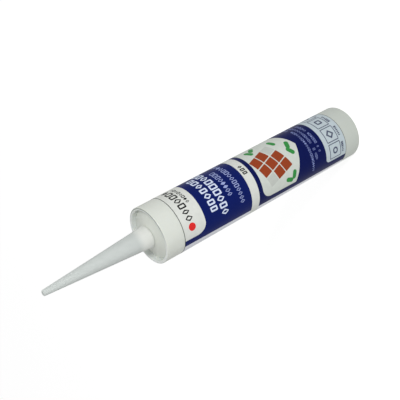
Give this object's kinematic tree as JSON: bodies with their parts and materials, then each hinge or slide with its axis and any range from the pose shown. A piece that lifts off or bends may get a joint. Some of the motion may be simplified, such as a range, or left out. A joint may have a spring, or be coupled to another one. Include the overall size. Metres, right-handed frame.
{
  "type": "caulk tube",
  "caption": "Sealant cartridge: straight plastic barrel with recessed front, threaded neck, long cone nozzle, sliding piston and wrap-around label.",
  "frame": {"origin": "centre of the barrel's rear rim, on the plane that the tube stands on", "axes": "+Z along the barrel towards the nozzle tip; the middle of the label faces -Y"},
  "size_m": [0.0496, 0.0496, 0.323],
  "materials": {
    "barrel_plastic": "satin off-white HDPE",
    "nozzle_plastic": "translucent natural polyethylene",
    "piston_plastic": "white polyethylene",
    "sealant": "smooth white paste",
    "label_film": "white film, satin varnish",
    "label_ink": "deep blue ink under varnish"
  },
  "bodies": {
    "barrel": {"barrel": "barrel_plastic", "label": "label_film", "label_front_print": "label_ink", "label_rear_print": "label_ink", "sealant": "sealant"},
    "nozzle": {"nozzle": "nozzle_plastic"},
    "piston": {"piston": "piston_plastic"}
  },
  "joints": [
    {"name": "nozzle_screw", "type": "hinge", "parent": "barrel", "child": "nozzle", "pos_m": [0, 0, 0.2266], "axis": [0, 0, 1], "range_deg": [0, 900]},
    {"name": "piston_slide", "type": "slide", "parent": "barrel", "child": "piston", "axis": [0, 0, 1], "range_m": [0, 0.1815], "deforming": ["sealant"]}
  ]
}
